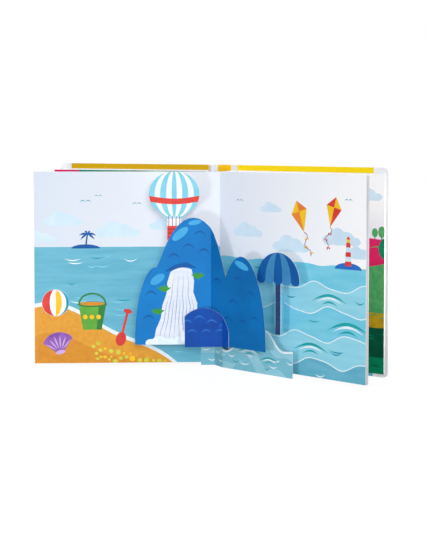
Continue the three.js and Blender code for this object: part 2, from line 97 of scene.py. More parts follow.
class Surface:
    """A node material in the making, with its shader and its object coordinates."""

    def __init__(self, name: str, gloss: dict[str, Setting]) -> None:
        """Start a surface.

        Args:
            name: The material's name.
            gloss: The shader's own constants.
        """
        self.material = bpy.data.materials.new(name)
        self.material.use_nodes = True
        self.tree = self.material.node_tree
        self.shader = self.tree.nodes["Principled BSDF"]
        self.place = self.add("TexCoord", {}).outputs["Object"]
        self.feed(self.shader, gloss)

    def feed(self, node: bpy.types.Node, settings: dict[str | int, Setting]) -> None:
        """Set or link a node's inputs.

        Args:
            node: The node.
            settings: For each input a constant, or the output that feeds it.
        """
        for socket, value in settings.items():
            if isinstance(value, bpy.types.NodeSocket):
                self.tree.links.new(value, node.inputs[socket])
            else:
                node.inputs[socket].default_value = value

    def add(self, kind: str, settings: dict[str | int, Setting], operation: str = "") -> bpy.types.Node:
        """Add a node.

        Args:
            kind: The node's kind, without its prefix.
            settings: Its inputs.
            operation: What a math node does.

        Returns:
            The node.
        """
        node = self.tree.nodes.new("ShaderNode" + kind)
        if operation:
            node.operation = operation
        self.feed(node, settings)
        return node

    def mix(self, share: bpy.types.NodeSocket, first: Setting, second: Setting) -> bpy.types.NodeSocket:
        """Mix two colours.

        Args:
            share: How much of the second one shows, 0 to 1.
            first: The first colour.
            second: The second colour.

        Returns:
            The mixed colour.
        """
        node = self.tree.nodes.new("ShaderNodeMix")
        node.data_type = "RGBA"
        self.feed(node, {"Factor": share, "A": first, "B": second})
        return node.outputs["Result"]

    def noise(self, scale: float, detail: float = 2.0,
              place: bpy.types.NodeSocket | None = None) -> bpy.types.NodeSocket:
        """Return noise of a scale and detail over the object's coordinates."""
        settings = {"Scale": scale, "Detail": detail, "Vector": place or self.place}
        return self.add("TexNoise", settings).outputs["Fac"]

    def ramp(self, value: bpy.types.NodeSocket, low: float, high: float,
             first: float = 0.0, last: float = 1.0) -> bpy.types.NodeSocket:
        """Return a value's place between two limits, as a number from first to last."""
        return self.add("MapRange", {"Value": value, "From Min": low, "From Max": high,
                                     "To Min": first, "To Max": last}).outputs["Result"]

    def finish(self, colour: bpy.types.NodeSocket, relief: bpy.types.NodeSocket, strength: float,
               depth: float) -> bpy.types.Material:
        """Give the shader its colour and its fine relief.

        Args:
            colour: The colour.
            relief: The relief's height.
            strength: How strongly the relief shows.
            depth: How deep it is, in metres.

        Returns:
            The material.
        """
        bump = self.add("Bump", {"Strength": strength, "Distance": depth, "Height": relief})
        self.feed(self.shader, {"Base Color": colour, "Normal": bump.outputs["Normal"]})
        return self.material


@dataclass(frozen=True)
class Ink:
    """One printed ink on coated card: two close colours, how they lie, and the gloss over them.

    The scale is that of the mottle or grain. A fading ink starts at low and ends at high, in metres; a fade
    across a page is painted shade.
    """

    name: str
    base: Colour
    second: Colour
    look: Look = Look.MOTTLED
    scale: float = 60.0
    low: float = 0.0
    high: float = 0.24
    fibre_scale: float = 900.0
    fibre_relief: float = 0.06
    fibre_depth: float = 0.0002
    roughness: float = 0.5
    specular: float = 0.15
    coat: float = 0.06
    coat_roughness: float = 0.25
    stretch: Place = (1.0, 1.0, 7.0)
    mottle: Point = (0.35, 0.65)

    def build(self) -> bpy.types.Material:
        """Make the ink's material once, and find it again after that.

        Returns:
            The node material.
        """
        found = bpy.data.materials.get(self.name)
        if found:
            return found
        surface = Surface(self.name, {"Roughness": self.roughness, "Specular IOR Level": self.specular,
                                      "Coat Weight": self.coat, "Coat Roughness": self.coat_roughness})
        colour = surface.mix(self._share(surface), rgb(*self.base), rgb(*self.second))
        return surface.finish(colour, surface.noise(self.fibre_scale, 4.0), self.fibre_relief, self.fibre_depth)

    def _share(self, surface: Surface) -> bpy.types.NodeSocket:
        """Make the nodes that say how much of the second colour shows.

        Args:
            surface: The material in the making.

        Returns:
            The socket with the share, 0 to 1.
        """
        if self.look in (Look.FADING_UP, Look.PAINTED_SHADE_ACROSS):
            split = surface.add("SeparateXYZ", {"Vector": surface.place})
            # across a page the fade is painted shade; upwards it is printed
            axis = "Z" if self.look is Look.FADING_UP else "X"
            return surface.ramp(split.outputs[axis], self.low, self.high)
        place = surface.place
        if self.look is Look.STREAKED:
            place = surface.add("Mapping", {"Scale": self.stretch, "Vector": place}).outputs["Vector"]
        detail = 6.0 if self.look is Look.GRAINY else 3.0
        return surface.ramp(surface.noise(self.scale, detail, place), *self.mottle)


# Inks of the sea spread
# Page grounds with painted shade: a bluish grey that darkens on the left page towards its outer edge and on the
# right page towards the gutter
SKY_LEFT_PAINTED_SHADE = Ink("ink_sky_left_painted_shade", (213, 222, 235), (232, 236, 243), Look.PAINTED_SHADE_ACROSS, 1.0, -0.24, -0.04)
SKY_RIGHT_PAINTED_SHADE = Ink("ink_sky_right_painted_shade", (226, 233, 246), (254, 254, 255), Look.PAINTED_SHADE_ACROSS, 1.0, 0.0, 0.15)
CLOUD = Ink("ink_cloud", (203, 227, 245), (214, 234, 248), Look.MOTTLED, 40.0)
SEA_LEFT = Ink("ink_sea_left", (98, 176, 202), (112, 186, 210), Look.STREAKED, 24.0)
SEA_RIGHT = Ink("ink_sea_right", (112, 202, 228), (128, 210, 233), Look.STREAKED, 22.0)
SEA_PALE = Ink("ink_sea_pale", (142, 212, 232), (154, 219, 236), Look.STREAKED, 22.0)
SEA_LINE = Ink("ink_sea_line", (0, 146, 172), (20, 160, 186))
FOAM = Ink("ink_foam", (240, 250, 254), (222, 240, 248), Look.GRAINY, 220.0)
SAND = Ink("ink_sand", (230, 164, 58), (222, 152, 48), Look.GRAINY, 160.0)
SAND_SHADE = Ink("ink_sand_shade", (220, 148, 46), (212, 140, 42), Look.GRAINY, 160.0)
PEBBLE = Ink("ink_pebble", (218, 214, 76), (198, 196, 60), Look.MOTTLED, 120.0)
SHELL = Ink("ink_shell", (128, 74, 168), (150, 98, 186), Look.MOTTLED, 90.0)
SHELL_LIGHT = Ink("ink_shell_light", (196, 160, 222), (208, 178, 230), Look.MOTTLED, 90.0)
BUCKET = Ink("ink_bucket", (104, 178, 66), (88, 160, 54), Look.MOTTLED, 70.0)
BUCKET_DARK = Ink("ink_bucket_dark", (44, 122, 58), (54, 134, 62), Look.MOTTLED, 70.0)
RED = Ink("ink_red", (228, 72, 62), (214, 58, 52), Look.MOTTLED, 80.0)
YELLOW = Ink("ink_yellow", (250, 204, 44), (244, 190, 30), Look.MOTTLED, 80.0)
WHITE = Ink("ink_white", (246, 248, 252), (236, 240, 248))
HILL_LEFT = Ink("ink_hill_left", (0, 126, 202), (0, 116, 190), Look.MOTTLED, 26.0)
# Painted shade: the hill's right face is printed darker than its left one, on top of the shade the lamps give
# it
HILL_RIGHT_PAINTED_SHADE = Ink("ink_hill_right_painted_shade", (0, 112, 184), (0, 102, 170), Look.MOTTLED, 26.0)
HILL_LIGHT = Ink("ink_hill_light", (60, 164, 222), (76, 174, 228))
HILL_DARK = Ink("ink_hill_dark", (0, 92, 168), (0, 84, 156))
FALL = Ink("ink_fall", (232, 238, 249), (220, 228, 243), Look.STREAKED, 40.0)
FALL_LINE = Ink("ink_fall_line", (150, 166, 194), (160, 176, 202))
BOULDER = Ink("ink_boulder", (0, 76, 172), (0, 68, 158))
BOULDER_LIGHT = Ink("ink_boulder_light", (30, 104, 192), (40, 114, 200))
CYAN = Ink("ink_cyan", (122, 205, 230), (138, 212, 234))
CANOPY = Ink("ink_canopy", (8, 84, 156), (14, 92, 164))
CANOPY_LIGHT = Ink("ink_canopy_light", (58, 130, 184), (66, 138, 192))
WOOD = Ink("ink_wood", (52, 70, 118), (44, 60, 104), Look.STREAKED, 80.0)
STRIP = Ink("ink_strip", (148, 206, 222), (162, 214, 228), Look.MOTTLED, 30.0)
STRIP_DEEP = Ink("ink_strip_deep", (122, 190, 211), (132, 197, 216), Look.MOTTLED, 30.0)
TEAL = Ink("ink_teal", (24, 160, 166), (36, 168, 174))
LEAF_GREEN = Ink("ink_leaf_green", (66, 158, 62), (54, 146, 56))

# Inks of the neighbouring spreads and of the case
DUSK = Ink("ink_dusk", (236, 236, 250), (255, 255, 255), Look.FADING_UP, 1.0, 0.14, 0.21)
MAGENTA = Ink("ink_magenta", (236, 42, 108), (222, 36, 98), Look.MOTTLED, 50.0)
MEADOW = Ink("ink_meadow", (98, 180, 112), (74, 164, 98), Look.MOTTLED, 180.0)
OCHRE = Ink("ink_ochre", (206, 166, 34), (190, 150, 30), Look.GRAINY, 140.0)
FOREST = Ink("ink_forest", (4, 96, 70), (2, 84, 60))
GRASS = Ink("ink_grass", (0, 146, 102), (0, 132, 92), Look.STREAKED)
WINE = Ink("ink_wine", (150, 34, 52), (128, 28, 44), Look.MOTTLED, 40.0)
ORANGE = Ink("ink_orange", (238, 138, 58), (228, 124, 46))

Hills = tuple[tuple[Ink, float], ...]
EVENING_HILLS: Hills = ((MAGENTA, 164.0), (MEADOW, 137.0), (OCHRE, 78.0), (FOREST, 62.0), (GRASS, 26.0))
MORNING_HILLS: Hills = ((GRASS, 168.0), (ORANGE, 120.0), (MEADOW, 92.0), (FOREST, 40.0))
WOODED_HILLS: Hills = ((FOREST, 150.0), (GRASS, 104.0), (MEADOW, 52.0))


@dataclass(frozen=True)
class Stock:
    """Bare card or board stock: pulp colour with fibres and a soft surface."""

    name: str
    base: Colour
    second: Colour
    roughness: float
    grain: float = 260.0
    relief: float = 0.12
    depth: float = 0.0003

    def build(self) -> bpy.types.Material:
        """Make the stock's material.

        Returns:
            The node material.
        """
        surface = Surface(self.name, {"Roughness": self.roughness})
        pulp = surface.noise(self.grain, 8.0)
        colour = surface.mix(pulp, rgb(*self.base), rgb(*self.second))
        return surface.finish(colour, pulp, self.relief, self.depth)


CARD_STOCK = Stock("stock_white_card", (246, 247, 251), (236, 238, 244), 0.55)
GREY_STOCK = Stock("stock_greyboard", (176, 170, 158), (150, 145, 134), 0.9, 320.0, 0.3)


@dataclass(frozen=True)
class SheetFrame:
    """Where a standing sheet is: h runs right along it, n out to its front, z up, in millimetres."""

    x: float
    y: float
    turn: float

    @property
    def right(self) -> Vector:
        """Return the direction along the sheet."""
        angle = math.radians(self.turn)
        return Vector((math.cos(angle), math.sin(angle), 0.0))

    @property
    def front(self) -> Vector:
        """Return the direction out of the sheet's front."""
        angle = math.radians(self.turn)
        return Vector((math.sin(angle), -math.cos(angle), 0.0))

    def at(self, h: float, n: float, z: float = 0.0) -> Vector:
        """Return the place of h, n and z in metres."""
        flat = Vector((self.x, self.y, z)) + self.right * h + self.front * n
        return flat * MM

    def moved(self, h: float, n: float, turn: float, slide: Point = (0.0, 0.0)) -> "SheetFrame":
        """Return a frame that starts at h and n of this one.

        Args:
            h: Distance along this sheet.
            n: Distance out of this sheet.
            turn: The new frame's turn in degrees.
            slide: A further move in x and y.

        Returns:
            The new frame.
        """
        start = self.at(h, n) / MM
        return SheetFrame(start.x + slide[0], start.y + slide[1], turn)


@dataclass(frozen=True)
class Patch:
    """A field of one ink with its outline, in millimetres of a sheet's own h and z."""

    outline: Outline
    ink: Ink


def oval(h: float, z: float, half_width: float, half_height: float, tilt: float = 0.0,
         start: float = 0.0, end: float = 360.0, steps: int = 28) -> Outline:
    """Draw an ellipse, or the part of one between two angles.

    Args:
        h: Centre along the sheet.
        z: Centre height.
        half_width: Half its width.
        half_height: Half its height.
        tilt: How far it leans, in degrees.
        start: First angle.
        end: Last angle.
        steps: How many points.

    Returns:
        Its outline.
    """
    lean = math.radians(tilt)
    count = steps if end - start >= 360.0 else steps + 1
    points = []
    for index in range(count):
        angle = math.radians(start + (end - start) * index / steps)
        across, up = half_width * math.cos(angle), half_height * math.sin(angle)
        points.append((h + across * math.cos(lean) - up * math.sin(lean),
                       z + across * math.sin(lean) + up * math.cos(lean)))
    return points


def stroke(points: Outline, width: float, taper: bool = True) -> Outline:
    """Draw a brush line along some points.

    Args:
        points: The line's points.
        width: Its full width.
        taper: Whether its ends thin out.

    Returns:
        The line's outline.
    """
    left, right = [], []
    last = len(points) - 1
    for index, (h, z) in enumerate(points):
        before, after = points[max(index - 1, 0)], points[min(index + 1, last)]
        run, rise = after[0] - before[0], after[1] - before[1]
        length = math.hypot(run, rise) or 1.0
        half = width / 2 * (max(math.sin(math.pi * index / last), 0.12) if taper else 1.0)
        left.append((h - rise / length * half, z + run / length * half))
        right.append((h + rise / length * half, z - run / length * half))
    return left + right[::-1]


def ripple(h: float, z: float, length: float, sag: float, width: float) -> Outline:
    """Draw one short curved wave line that hangs down in its middle."""
    points = [(h + length * (k / 10 - 0.5), z - sag * math.sin(math.pi * k / 10)) for k in range(11)]
    return stroke(points, width)


def block(left: float, right: float, low: float, high: float) -> Outline:
    """Return an upright rectangle."""
    return [(left, low), (right, low), (right, high), (left, high)]


def band(sheet: Point, top: Skyline, steps: int = 40) -> Outline:
    """Draw a field from under the foot of a sheet up to a skyline.

    Args:
        sheet: Its left and right end.
        top: Height of the skyline for each h.
        steps: How many points the skyline has.

    Returns:
        Its outline.
    """
    first, last = sheet
    run = [last + (first - last) * k / steps for k in range(steps + 1)]
    return [(first, UNDER_FOOT), (last, UNDER_FOOT)] + [(h, top(h)) for h in run]


def rolling(level: float, rise: float, length: float, phase: float = 0.0) -> Skyline:
    """Return a gently rolling skyline."""
    return lambda h: (level + rise * math.sin(2 * math.pi * (h / length + phase))
                      + 0.22 * rise * math.sin(2 * math.pi * (2.1 * h / length + phase * 1.7)))


def leaned(points: Outline, tilt: float) -> Outline:
    """Turn points about the origin by a tilt in degrees."""
    run, rise = math.cos(math.radians(tilt)), math.sin(math.radians(tilt))
    return [(a * run - b * rise, a * rise + b * run) for a, b in points]


@dataclass(frozen=True)
class Motif:
    """A small printed picture at h and z, whose parts are given from there in shares of its size."""

    h: float
    z: float
    size: float

    def at(self, a: float, b: float) -> Point:
        """Return one point of the picture on its sheet."""
        return (self.h + self.size * a, self.z + self.size * b)

    def field(self, ink: Ink, corners: Outline) -> Patch:
        """Return a field with straight edges."""
        return Patch([self.at(*corner) for corner in corners], ink)

    def line(self, ink: Ink, points: Outline, width: float, taper: bool = True) -> Patch:
        """Return a brush line."""
        return Patch(stroke([self.at(*point) for point in points], self.size * width, taper), ink)

    def disc(self, ink: Ink, middle: Point, half_width: float, half_height: float, tilt: float = 0.0,
             end: float = 360.0, steps: int = 28) -> Patch:
        """Return an oval field, or the part of one up to an end angle."""
        half = (self.size * half_width, self.size * half_height)
        return Patch(oval(*self.at(*middle), *half, tilt, 0.0, end, steps), ink)

    def cloud(self, ink: Ink = CLOUD) -> list[Patch]:
        """Draw a flat-footed cloud of overlapping puffs.

        Args:
            ink: Its ink.

        Returns:
            Its patches.
        """
        puffs = ((-0.62, 0.0, 0.34, 0.20), (-0.22, 0.14, 0.40, 0.34), (0.24, 0.08, 0.38, 0.27),
                 (0.64, -0.02, 0.3, 0.17), (0.0, -0.08, 0.86, 0.11))
        return [self.disc(ink, (a, b), wide, high) for a, b, wide, high in puffs]

    def gull(self) -> list[Patch]:
        """Draw a far bird as two arched wing lines."""
        return [self.line(SEA_LINE, [(side * k / 8, 0.42 * math.sin(math.pi * k / 8) * (1 - k / 16))
                                     for k in range(9)], 0.16) for side in (-1, 1)]

    def shell(self, tilt: float) -> list[Patch]:
        """Draw a fan-shaped shell with light ribs.

        Args:
            tilt: How far it leans, in degrees.

        Returns:
            Its patches.
        """
        fan, ribs = [], []
        lobes, spread, last = 7, 140, 160  # the fan opens over 140 degrees and ends at 160
        for lobe in range(lobes):
            middle = last - spread * (lobe + 0.5) / lobes
            reach = 0.92 + 0.08 * math.sin(math.pi * (lobe + 0.5) / lobes)
            for step in range(-3, 4):
                angle = math.radians(middle + step * spread / lobes / 7)
                bulge = reach * (1 + 0.09 * math.cos(math.pi * step / 7))
                fan.append((bulge * math.cos(angle), bulge * math.sin(angle)))
            if lobe:
                angle = math.radians(last - spread * lobe / lobes)
                rib = [(r * math.cos(angle), r * math.sin(angle)) for r in (0.2, 0.4, 0.6, 0.8)]
                ribs.append(self.line(SHELL_LIGHT, leaned(rib, tilt), 0.07))
        body = self.field(SHELL, leaned([(0.16, 0.0)] + fan[::-1] + [(-0.16, 0.0)], tilt))
        return [body] + ribs + [self.disc(SHELL_LIGHT, (0.0, 0.0), 0.24, 0.1, tilt)]

    def bucket(self) -> list[Patch]:
        """Draw a toy bucket with a rim, a band of dots and a handle.

        Returns:
            Its patches.
        """
        handle = [(0.52 * math.cos(math.pi * k / 12), 1.0 + 0.42 * math.sin(math.pi * k / 12))
                  for k in range(13)]
        patches = [self.line(BUCKET_DARK, handle, 0.07, False),
                   self.field(BUCKET, [(-0.36, 0), (0.36, 0), (0.54, 1), (-0.54, 1)]),
                   self.field(BUCKET_DARK, [(0.16, 0), (0.36, 0), (0.54, 1), (0.26, 1)]),
                   self.disc(BUCKET_DARK, (0.0, 1.0), 0.58, 0.11),
                   self.disc(SAND_SHADE, (0.0, 1.02), 0.48, 0.075)]
        return patches + [self.disc(YELLOW, (0.26 * step - 0.28, 0.5), 0.09, 0.09) for step in range(3)]

    def spade(self, tilt: float) -> list[Patch]:
        """Draw a toy spade stuck in the sand.

        Args:
            tilt: How far it leans, in degrees.

        Returns:
            Its patches.
        """
        shaft = leaned([(0.0, k / 4) for k in range(5)], tilt)
        grip, blade = leaned([(0.0, 1.06), (0.0, -0.06)], tilt)
        return [self.line(RED, shaft, 0.1, False), self.disc(RED, grip, 0.17, 0.09, tilt),
                self.disc(RED, blade, 0.2, 0.28, tilt)]

    def beach_ball(self) -> list[Patch]:
        """Draw a ball with bowed panels in four colours.

        Returns:
            Its patches.
        """
        def bow(share: float, angles: Iterable[int]) -> Outline:
            """Return the seam that bows out to a share of the ball."""
            return [(share * math.cos(math.radians(a)), 0.985 * math.sin(math.radians(a))) for a in angles]

        panels = ((-0.98, -0.42, RED), (0.02, 0.46, YELLOW), (0.8, 0.99, SEA_LINE))
        patches = [self.disc(WHITE, (0.0, 0.0), 1.0, 1.0, steps=36)]
        patches += [self.field(ink, bow(low, range(-90, 91, 10)) + bow(high, range(80, -90, -10)))
                    for low, high, ink in panels]
        return patches + [self.disc(WHITE, (-0.06, 0.86), 0.17, 0.09)]

    def kite(self, first: Ink, second: Ink, tilt: float) -> list[Patch]:
        """Draw a four-cornered kite with a bowed tail.

        Args:
            first: Ink of two of its quarters and of the bows.
            second: Ink of the others.
            tilt: How far it leans, in degrees.

        Returns:
            Its patches.
        """
        corners = [(0, 0.62), (0.46, 0.12), (0, -0.82), (-0.46, 0.12), (0, 0.12)]
        top, right, foot, left, middle = leaned(corners, tilt)
        tail = [(0.14 * math.sin(k * 0.9), -0.82 - 0.11 * k) for k in range(11)]
        patches = [self.field(first, [top, left, middle]), self.field(second, [top, middle, right]),
                   self.field(second, [left, foot, middle]), self.field(first, [middle, foot, right]),
                   self.line(WINE, leaned(tail, tilt), 0.035, False)]
        for a, b in tail[3::3]:
            patches += [self.field(first, leaned([(a, b), (a + side, b + 0.06), (a + side, b - 0.06)], tilt))
                        for side in (-0.1, 0.1)]
        return patches

    def breaker(self) -> list[Patch]:
        """Draw a swell as long low arcs of foam, one under another.

        Returns:
            Its patches.
        """
        patches = []
        for share, ink, width in ((1.0, TEAL, 0.13), (0.74, FOAM, 0.1), (0.46, TEAL, 0.09)):
            arc = [(share * (k / 8 - 1), 0.3 * share * math.sin(math.pi * k / 16) - 0.12 / share)
                   for k in range(17)]
            patches.append(self.line(ink, arc, width))
        return patches

    def tuft(self) -> list[Patch]:
        """Draw a small tuft of leaves on a rock.

        Returns:
            Its patches.
        """
        leaves = []
        for angle in (20, 55, 90, 125, 160):
            out, up = math.cos(math.radians(angle)), 0.45 + 0.55 * math.sin(math.radians(angle))
            leaves.append(self.line(LEAF_GREEN, [(0.0, 0.0), (out / 2, up / 2 + 0.14), (out, up)], 0.42))
        return leaves

    def beacon(self) -> list[Patch]:
        """Draw a far banded lighthouse on a rock.

        Returns:
            Its patches.
        """
        patches = [self.disc(BOULDER_LIGHT, (0.0, 0.0), 0.62, 0.24, end=180)]
        for ring in range(5):
            low, high = 0.12 + 0.17 * ring, 0.12 + 0.17 * (ring + 1)
            wide, thin = 0.15 - 0.012 * ring, 0.15 - 0.012 * (ring + 1)
            patches.append(self.field(CLOUD if ring % 2 else RED,
                                      [(-wide, low), (wide, low), (thin, high), (-thin, high)]))
        lamp, roof, tip = 0.97, 1.09, 1.21
        return patches + [self.field(YELLOW, block(-0.07, 0.07, lamp, roof)),
                          self.field(RED, [(-0.1, roof), (0.1, roof), (0.0, tip)])]

    def islet(self) -> list[Patch]:
        """Draw a far islet with a leaning palm.

        Returns:
            Its patches.
        """
        trunk = [(0.02 + 0.1 * (k / 6) ** 2, 0.9 * k / 6) for k in range(7)]
        patches = [self.disc(HILL_DARK, (0.0, 0.0), 0.9, 0.26, end=180),
                   self.line(HILL_DARK, trunk, 0.1, False)]
        a, b = trunk[-1]
        for angle, reach in ((20, 0.55), (65, 0.42), (115, 0.44), (160, 0.56), (195, 0.46), (-15, 0.44)):
            out, up = reach * math.cos(math.radians(angle)), reach * math.sin(math.radians(angle))
            leaf = [(a + out * k / 6, b + up * k / 6 - 0.5 * reach * (k / 6) ** 2) for k in range(7)]
            patches.append(self.line(HILL_DARK, leaf, 0.13))
        return patches


def pebbles(rng: random.Random, spread: Skyline, tries: int = 260, reach: Point = (-160, -68),
            sizes: Point = (1.5, 3.8), lowest: float = 6.0) -> list[Patch]:
    """Scatter small round stones on the sand, none of them touching another.

    Args:
        rng: The random source.
        spread: The skyline that they stay under.
        tries: How many stones to try.
        reach: Left and right end of the scatter.
        sizes: Smallest and largest half width.
        lowest: Lowest height of a stone's middle.

    Returns:
        The stones.
    """
    placed: list[tuple[float, float, float]] = []
    patches = []
    for _ in range(tries):
        h, radius = rng.uniform(*reach), rng.uniform(*sizes)
        z = rng.uniform(lowest, max(spread(h) - radius * 1.6, lowest + 0.5))
        if any(math.hypot(h - a, z - b) < (radius + c) * 1.12 for a, b, c in placed):
            continue
        placed.append((h, z, radius))
        stone = oval(h, z, radius, radius * rng.uniform(0.7, 0.95), rng.uniform(-25, 25), steps=12)
        patches.append(Patch(stone, rng.choice((PEBBLE, PEBBLE, YELLOW))))
    return patches


LANDSCAPE_CLOUD_PATCHES = 15  # what a landscape draws first: three clouds of five puffs


def landscape(sheet: Point, hills: Hills, seed: int) -> list[Patch]:
    """Draw rolling hills with round trees on them and clouds over them.

    Args:
        sheet: Left and right end.
        hills: Ink and height of each hill, from the far one to the near one.
        seed: Seed of the small variations.

    Returns:
        The patches in painting order.
    """
    rng = random.Random(seed)
    first, last = sheet
    patches = []
    for step in range(3):
        patches += Motif(first + (last - first) * (0.2 + 0.3 * step), rng.uniform(200, 222),
                         rng.uniform(20, 28)).cloud()
    lower = [level for _, level in hills[1:]] + [0.0]
    for (ink, level), below in zip(hills, lower):
        room = level - below
        skyline = rolling(level, room * 0.09, rng.uniform(110, 170), rng.random())
        crown = {MEADOW: GRASS, GRASS: FOREST, FOREST: GRASS}.get(ink, MEADOW)
        for _ in range(4):
            h, size = rng.uniform(first + 12, last - 12), rng.uniform(0.16, 0.24) * min(room, 46)
            tree = Motif(h, skyline(h) - size * 0.6, size)
            patches += [tree.field(WOOD, [(-0.14, 0), (0.14, 0), (0.1, 2), (-0.1, 2)]),
                        tree.disc(crown, (0.0, 2.2), 0.9, 1.2)]
        patches.append(Patch(band(sheet, skyline), ink))
        for _ in range(7):
            h, drop = rng.uniform(first, last), rng.uniform(0.25, 0.8) * room
            patches.append(Patch(ripple(h, skyline(h) - drop, rng.uniform(9, 18), -2.0, 1.4), crown))
    return patches


def signed_area(ring: Outline) -> float:
    """Return twice the signed area of an outline."""
    return sum(a[0] * b[1] - b[0] * a[1] for a, b in zip(ring, ring[1:] + ring[:1]))


@dataclass
class Print:
    """A printed skin on one face of a CAD sheet, cut in the solid's own outline.

    Without a ground ink only its patches show.
    """

    name: str
    node: str
    sheet: SheetFrame
    side: Side
    ground: Ink | None
    patches: list[Patch]
    body: str = "book_block"
    slot: str = "printed_card"
    lift: float = 0.05
    flat_enough: float = 0.9995
    merged_within: float = 1e-4

    def _face(self) -> tuple[Outline, float]:
        """Read the outline and the level of the sheet's largest face.

        Returns:
            The outline in h and z, and its level n.
        """
        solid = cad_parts[self.node]
        out = self.sheet.front * self.side.value
        origin = self.sheet.at(0, 0)
        edges: dict[float, dict[tuple[Point, Point], bool]] = {}
        areas: dict[float, float] = {}
        for polygon in solid.data.polygons:
            corners = [solid.matrix_world @ solid.data.vertices[i].co for i in polygon.vertices]
            normal = (corners[1] - corners[0]).cross(corners[2] - corners[0])
            if normal.length < 1e-12 or normal.normalized().dot(out) < self.flat_enough:
                continue
            flat = [(round((c - origin).dot(self.sheet.right) / MM, 3), round(c.z / MM, 3)) for c in corners]
            step = round((corners[0] - origin).dot(self.sheet.front) / MM, 3)
            areas[step] = areas.get(step, 0.0) + abs(signed_area(flat))
            edges.setdefault(step, {}).update({edge: True for edge in zip(flat, flat[1:] + flat[:1])})
        level = max(areas, key=areas.__getitem__)
        rim = {start: end for start, end in edges[level] if (end, start) not in edges[level]}
        loops = []
        while rim:
            start, point = next(iter(rim.items()))
            loop = [start]
            del rim[start]
            while point in rim:
                loop.append(point)
                point = rim.pop(point)
            loops.append(loop)
        return max(loops, key=lambda loop: abs(signed_area(loop))), level

    def build(self) -> None:
        """Cut the face along every patch and give each field its ink."""
        outline, level = self._face()
        rings = [outline] + [patch.outline for patch in self.patches]
        inks = [self.ground] + [patch.ink for patch in self.patches]
        points: list[Vector] = []
        faces: list[list[int]] = []
        for ring in rings:
            turned = ring if signed_area(ring) > 0 else ring[::-1]
            faces.append(list(range(len(points), len(points) + len(turned))))
            points.extend(Vector(p) for p in turned)
        verts, _, triangles, _, _, owners = delaunay_2d_cdt(points, [], faces, 1, self.merged_within, True)
        kept, kept_inks = [], []
        used_inks: list[Ink] = []
        for triangle, owner in zip(triangles, owners):
            if 0 not in owner or inks[max(owner)] is None:
                continue
            ink = inks[max(owner)]
            if ink not in used_inks:
                used_inks.append(ink)
            kept.append(triangle if self.side is Side.FRONT else triangle[::-1])
            kept_inks.append(used_inks.index(ink))
        used = sorted({index for triangle in kept for index in triangle})
        place = {old: new for new, old in enumerate(used)}
        height = level + self.side.value * self.lift
        mesh = bpy.data.meshes.new(self.name)
        mesh.from_pydata([self.sheet.at(verts[i].x, height, verts[i].y) for i in used], [],
                         [[place[i] for i in triangle] for triangle in kept])
        for ink in used_inks:
            mesh.materials.append(ink.build())
        mesh.polygons.foreach_set("material_index", kept_inks)
        mesh.update()
        skin = bpy.data.objects.new(self.name, mesh)
        bpy.context.scene.collection.objects.link(skin)
        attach(skin, self.body)
        LOG.info("%s: %d triangles, %d inks", self.name, len(kept), len(used_inks))


def dress(name: str, material: bpy.types.Material) -> None:
    """Give a CAD node one material.

    Args:
        name: The node.
        material: Its finish.
    """
    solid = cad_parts[name]
    solid.data.materials.clear()
    solid.data.materials.append(material)
    LOG.info("%s dressed with %s", name, material.name)


@dataclass(frozen=True)
class WrapPaper:
    """Glossy laminated cover paper: a yellow field over a band of sea, white at the joint and the margin."""

    name: str
    sheet: SheetFrame
    first: float
    last: float
    yellow: Colour = (252, 200, 0)
    second: Colour = (246, 186, 0)
    sea_level: float = 0.0
    sea: Colour = (118, 196, 218)
    white: Colour = (244, 245, 249)
    specular: float = 0.18
    coat: float = 0.12
    coat_roughness: float = 0.14
    roughness: Point = (0.3, 0.55)
    wear: Point = (0.4, 0.75)
    mottle_scale: float = 24.0
    wear_scale: float = 70.0
    wear_detail: float = 9.0
    relief_scale: float = 260.0
    relief: float = 0.05
    depth: float = 0.0004

    def build(self) -> bpy.types.Material:
        """Make the paper's material.

        Returns:
            The node material.
        """
        surface = Surface(self.name, {"Specular IOR Level": self.specular, "Coat Weight": self.coat,
                                      "Coat Roughness": self.coat_roughness})
        start = self.sheet.at(0, 0).dot(self.sheet.right)
        measure = surface.add("VectorMath", {0: surface.place, 1: self.sheet.right}, "DOT_PRODUCT")
        along = measure.outputs["Value"]
        past = surface.add("Math", {0: along, 1: start + self.first * MM}, "GREATER_THAN").outputs[0]
        short = surface.add("Math", {0: along, 1: start + self.last * MM}, "LESS_THAN").outputs[0]
        inside = surface.add("Math", {0: past, 1: short}, "MULTIPLY").outputs[0]
        height = surface.add("SeparateXYZ", {"Vector": surface.place}).outputs["Z"]
        foot = surface.add("Math", {0: height, 1: self.sea_level * MM}, "LESS_THAN").outputs[0]
        yellow = surface.mix(surface.noise(self.mottle_scale), rgb(*self.yellow), rgb(*self.second))
        printed = surface.mix(foot, yellow, rgb(*self.sea))
        colour = surface.mix(inside, rgb(*self.white), printed)
        worn = surface.noise(self.wear_scale, self.wear_detail)
        wear = surface.ramp(worn, *self.wear, *self.roughness)
        surface.feed(surface.shader, {"Roughness": wear})
        return surface.finish(colour, surface.noise(self.relief_scale), self.relief, self.depth)


